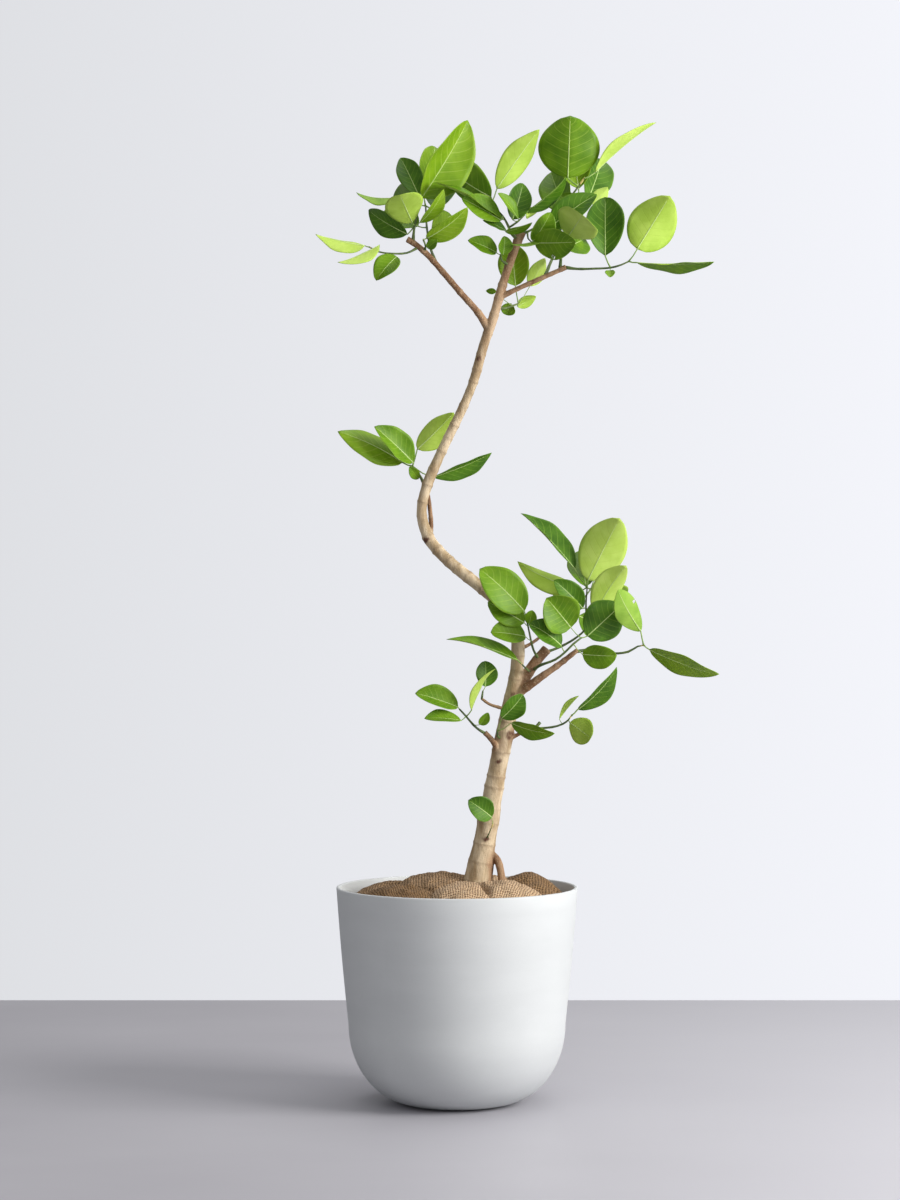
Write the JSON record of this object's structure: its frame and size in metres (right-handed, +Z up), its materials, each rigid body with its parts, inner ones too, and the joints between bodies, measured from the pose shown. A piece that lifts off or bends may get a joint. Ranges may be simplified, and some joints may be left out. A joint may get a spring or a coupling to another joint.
{
  "type": "potted council tree",
  "caption": "Young council tree with a curved trunk and broad leaves, standing in a round-bottomed planter stuffed with hessian.",
  "frame": {"origin": "centre of the planter's flat underside", "axes": "+Z up along the planter's axis, -Y towards the front, +X to the right as seen from the front"},
  "size_m": [0.6595, 0.4004, 1.6419],
  "materials": {
    "planter": "matte",
    "soil": "matte",
    "hessian": "matte",
    "bark": "matte",
    "leaf": "satin"
  },
  "bodies": {
    "root": {"bough_low_behind": "bark", "bough_low_left": "bark", "bough_low_right": "bark", "bough_low_stub": "bark", "bough_mid": "bark", "bough_top_left": "bark", "bough_top_right": "bark", "hessian": "hessian", "leaf_long": "leaf", "leaf_on_foot": "leaf", "leaf_twig_left": "leaf", "leaves_back_left": "leaf", "leaves_back_low": "leaf", "leaves_back_right": "leaf", "leaves_behind_fork": "leaf", "leaves_bough_left": "leaf", "leaves_far_left": "leaf", "leaves_left_fork": "leaf", "leaves_low_centre": "leaf", "leaves_low_front": "leaf", "leaves_low_left": "leaf", "leaves_low_right": "leaf", "leaves_low_small": "leaf", "leaves_low_tall": "leaf", "leaves_mid": "leaf", "leaves_right_tip": "leaf", "leaves_top_crown": "leaf", "leaves_top_inner": "leaf", "leaves_top_left": "leaf", "leaves_top_right": "leaf", "leaves_trunk_front": "leaf", "planter": "planter", "prop_root": "bark", "soil": "soil", "spur_low_right": "bark", "trunk_lower": "bark", "trunk_middle": "bark", "trunk_upper": "bark", "twig_left": "bark"}
  },
  "joints": []
}
